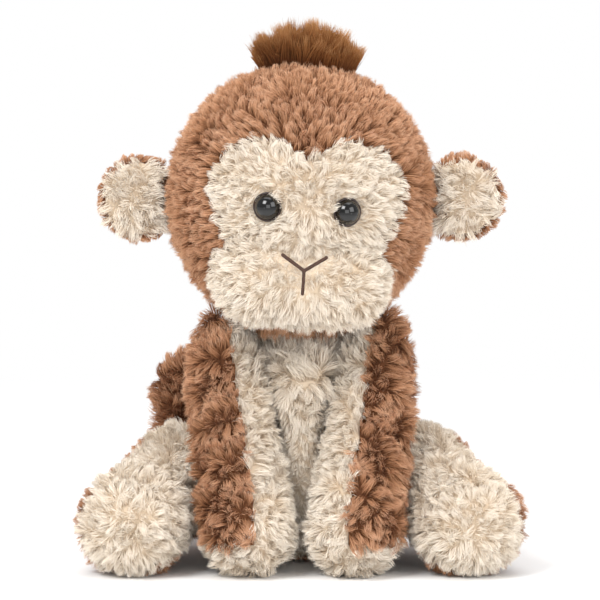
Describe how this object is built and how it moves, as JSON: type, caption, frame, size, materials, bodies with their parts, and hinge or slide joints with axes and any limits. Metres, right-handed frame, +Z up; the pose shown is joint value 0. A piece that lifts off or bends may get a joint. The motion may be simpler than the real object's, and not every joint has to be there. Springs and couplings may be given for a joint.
{
  "type": "stuffed monkey",
  "caption": "Seated plush monkey with a round head, cream face and muzzle, splayed legs, long arms to the floor and a curled tail; head, ears, limbs and tail move at sewn joints.",
  "frame": {"origin": "middle of the flat seat under the body, on the surface that the toy sits on", "axes": "+Z up along the body, -Y towards the front (the face), +X to the toy's own left"},
  "size_m": [0.2038, 0.1565, 0.2533],
  "materials": {
    "brown_plush": "matte",
    "cream_plush": "matte",
    "hair_plush": "satin",
    "fibre_filling": "matte",
    "pellet_bag": "matte",
    "dark_thread": "satin",
    "neck_thread": "satin",
    "eye_plastic": "gloss",
    "washer_plastic": "satin"
  },
  "bodies": {
    "torso": {"body_cover_left": "brown_plush", "body_cover_right": "brown_plush", "chest_panel": "cream_plush", "seat_panel": "brown_plush", "body_filling": "fibre_filling", "pellet_bag": "pellet_bag"},
    "neck": {"neck_thread": "neck_thread"},
    "head": {"head_cover_left": "brown_plush", "head_cover_right": "brown_plush", "face_panel": "cream_plush", "muzzle_panel": "cream_plush", "head_filling": "fibre_filling", "eye_left": "eye_plastic", "eye_right": "eye_plastic", "eye_washer_left": "washer_plastic", "eye_washer_right": "washer_plastic", "nose_mouth_stitch": "dark_thread", "hair_tuft": "hair_plush"},
    "ear_left": {"ear_front_left": "cream_plush", "ear_back_left": "brown_plush"},
    "ear_right": {"ear_front_right": "cream_plush", "ear_back_right": "brown_plush"},
    "arm_left": {"arm_outer_left": "brown_plush", "arm_inner_left": "cream_plush", "hand_left": "cream_plush", "arm_filling_left": "fibre_filling"},
    "arm_right": {"arm_outer_right": "brown_plush", "arm_inner_right": "cream_plush", "hand_right": "cream_plush", "arm_filling_right": "fibre_filling"},
    "leg_left": {"leg_outer_left": "brown_plush", "leg_inner_left": "cream_plush", "sole_left": "cream_plush", "leg_filling_left": "fibre_filling"},
    "leg_right": {"leg_outer_right": "brown_plush", "leg_inner_right": "cream_plush", "sole_right": "cream_plush", "leg_filling_right": "fibre_filling"},
    "tail": {"tail_cover_front": "brown_plush", "tail_cover_back": "brown_plush", "tail_filling": "fibre_filling"}
  },
  "joints": [
    {"name": "head_turn", "type": "hinge", "parent": "torso", "child": "neck", "pos_m": [0, 0, 0.104], "axis": [0, 0, 1], "range_deg": [-25, 25], "stiffness_Nm_per_rad": 1.5},
    {"name": "head_nod", "type": "hinge", "parent": "neck", "child": "head", "pos_m": [0, 0, 0.108], "axis": [1, 0, 0], "range_deg": [-10, 10], "stiffness_Nm_per_rad": 6},
    {"name": "ear_left_fold", "type": "hinge", "parent": "head", "child": "ear_left", "pos_m": [0.061, -0.009, 0.169], "axis": [0, 0, -1], "range_deg": [-25, 25], "stiffness_Nm_per_rad": 0.05},
    {"name": "ear_right_fold", "type": "hinge", "parent": "head", "child": "ear_right", "pos_m": [-0.061, -0.009, 0.169], "axis": [0, 0, 1], "range_deg": [-25, 25], "stiffness_Nm_per_rad": 0.05},
    {"name": "arm_left_swing", "type": "hinge", "parent": "torso", "child": "arm_left", "pos_m": [0.034, -0.02, 0.088], "axis": [-1, 0, 0], "range_deg": [0, 32], "stiffness_Nm_per_rad": 0.8},
    {"name": "arm_right_swing", "type": "hinge", "parent": "torso", "child": "arm_right", "pos_m": [-0.034, -0.02, 0.088], "axis": [-1, 0, 0], "range_deg": [0, 32], "stiffness_Nm_per_rad": 0.8},
    {"name": "leg_left_splay", "type": "hinge", "parent": "torso", "child": "leg_left", "pos_m": [0.056, 0.004, 0.036], "axis": [0, 0, 1], "range_deg": [0, 30], "stiffness_Nm_per_rad": 0.8},
    {"name": "leg_right_splay", "type": "hinge", "parent": "torso", "child": "leg_right", "pos_m": [-0.056, 0.004, 0.036], "axis": [0, 0, -1], "range_deg": [0, 30], "stiffness_Nm_per_rad": 0.8},
    {"name": "tail_wag", "type": "hinge", "parent": "torso", "child": "tail", "pos_m": [-0.02346, 0.03478, 0.024], "axis": [0, 0, 1], "range_deg": [-25, 8], "stiffness_Nm_per_rad": 0.2}
  ]
}
